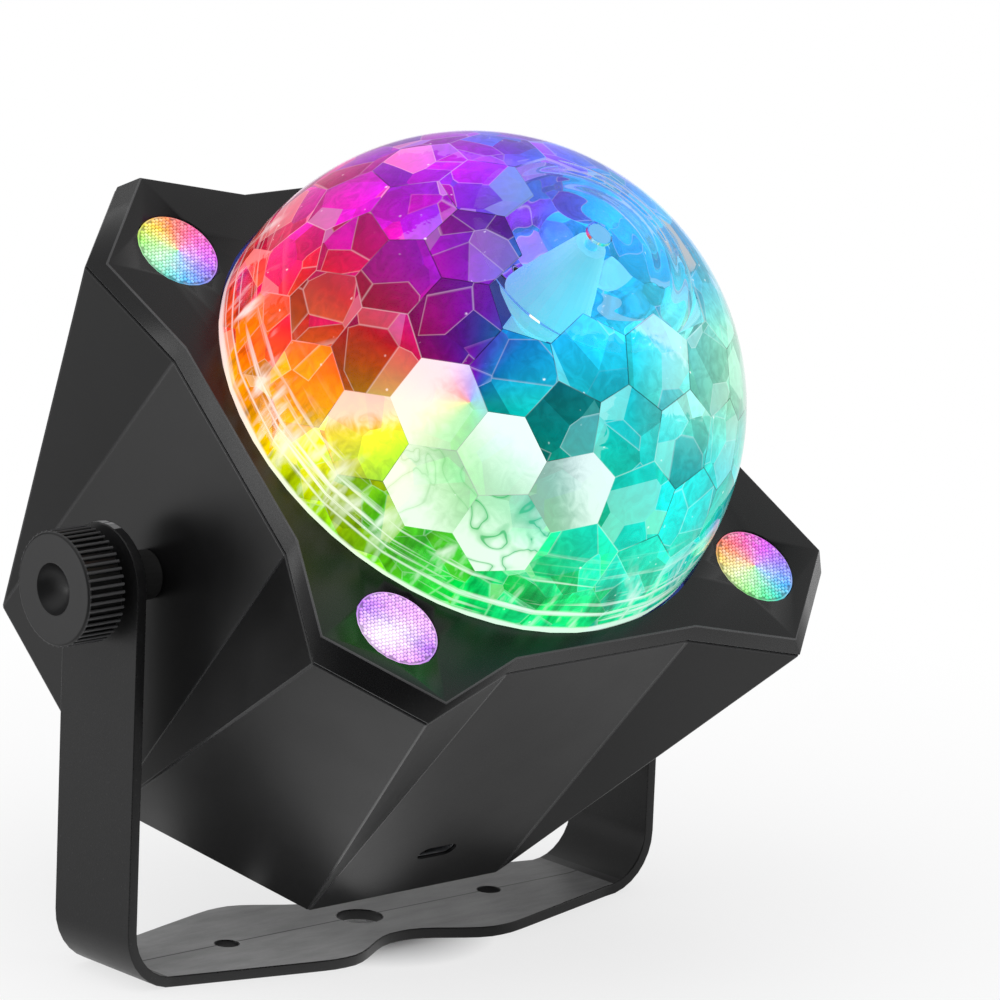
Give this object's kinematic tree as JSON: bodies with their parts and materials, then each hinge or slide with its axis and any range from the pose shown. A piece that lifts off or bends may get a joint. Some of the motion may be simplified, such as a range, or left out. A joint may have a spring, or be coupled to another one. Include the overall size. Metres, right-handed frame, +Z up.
{
  "type": "led disco ball light",
  "caption": "Faceted lamp head with a rotating crystal half dome and corner lenses, tilting in a bent strip bracket between ribbed clamp knobs.",
  "frame": {"origin": "centre of the bounding box's underside, on the surface that the foot plate stands on", "axes": "+X along the tilt axis, to the right seen from the front; -Y towards the front, where the dome leans at rest; +Z up"},
  "size_m": [0.16, 0.1527, 0.1663],
  "materials": {
    "black_plastic": "fine satin",
    "black_paint": "satin black powder coat on steel",
    "knob_plastic": "satin moulded",
    "steel": "zinc plated",
    "brass": "plain",
    "rubber": "matt",
    "crystal": "clear acrylic, polished outside, cut in flats inside",
    "lens_plastic": "clear with a fine honeycomb behind",
    "white_plastic": "plain",
    "grey_plastic": "plain",
    "green_board": "glass fibre board",
    "white_board": "white solder mask",
    "led_yellow": "clear resin over a yellow chip",
    "lead_sheath": "soft sheath"
  },
  "bodies": {
    "stand": {"bracket": "black_paint"},
    "left_washers": {"left_washer": "black_paint"},
    "left_clamp": {"left_knob": "knob_plastic", "left_stud": "steel"},
    "right_washers": {"right_washer": "black_paint"},
    "right_clamp": {"right_knob": "knob_plastic", "right_stud": "steel"},
    "head": {"housing": "black_plastic", "top_cover": "black_plastic", "inner_tray": "black_plastic", "dome_motor": "steel", "left_motor_screw": "steel", "right_motor_screw": "steel", "charging_socket": "steel", "microphone": "steel", "board_screw_1": "steel", "board_screw_2": "steel", "tray_screw_1": "steel", "tray_screw_2": "steel", "tray_screw_3": "steel", "tray_screw_4": "steel", "case_screw_1": "steel", "case_screw_2": "steel", "case_screw_3": "steel", "case_screw_4": "steel", "left_nut": "brass", "right_nut": "brass", "left_spacer": "rubber", "right_spacer": "rubber", "front_left_lens": "lens_plastic", "front_right_lens": "lens_plastic", "back_left_lens": "lens_plastic", "back_right_lens": "lens_plastic", "lead_header": "white_plastic", "controller_chip": "grey_plastic", "infrared_receiver": "grey_plastic", "storage_capacitor": "grey_plastic", "control_board": "green_board", "lamp_board": "white_board", "front_left_led_module": "white_board", "front_right_led_module": "white_board", "back_left_led_module": "white_board", "back_right_led_module": "white_board", "lamp_led_1": "led_yellow", "lamp_led_2": "led_yellow", "lamp_led_3": "led_yellow", "lamp_led_4": "led_yellow", "lamp_led_5": "led_yellow", "lamp_led_6": "led_yellow", "motor_lead": "lead_sheath", "lamp_lead": "lead_sheath", "front_left_lead": "lead_sheath", "front_right_lead": "lead_sheath", "back_left_lead": "lead_sheath", "back_right_lead": "lead_sheath"},
    "dome": {"crystal_dome": "crystal", "dome_hub": "white_plastic", "pole_screw": "steel", "motor_shaft": "steel"}
  },
  "joints": [
    {"name": "head_tilt", "type": "hinge", "parent": "stand", "child": "head", "pos_m": [0, 0.00525, 0.08059], "axis": [1, 0, 0], "range_deg": [-146, 64]},
    {"name": "dome_spin", "type": "hinge", "parent": "head", "child": "dome", "pos_m": [0, -0.02211, 0.11206], "axis": [0, -0.6561, 0.7547], "continuous": true},
    {"name": "left_washer_slide", "type": "slide", "parent": "stand", "child": "left_washers", "axis": [-1, 0, 0], "range_m": [0, 0.0012]},
    {"name": "left_knob_turn", "type": "hinge", "parent": "left_washers", "child": "left_clamp", "pos_m": [-0.075, 0.00525, 0.08059], "axis": [-1, 0, 0], "range_deg": [0, 540]},
    {"name": "right_washer_slide", "type": "slide", "parent": "stand", "child": "right_washers", "axis": [1, 0, 0], "range_m": [0, 0.0012]},
    {"name": "right_knob_turn", "type": "hinge", "parent": "right_washers", "child": "right_clamp", "pos_m": [0.075, 0.00525, 0.08059], "axis": [1, 0, 0], "range_deg": [0, 540]}
  ],
  "couplings": [
    {"joint": "left_washer_slide", "follows": "left_knob_turn", "m_per_rad": 0.00012732},
    {"joint": "right_washer_slide", "follows": "right_knob_turn", "m_per_rad": 0.00012732}
  ]
}
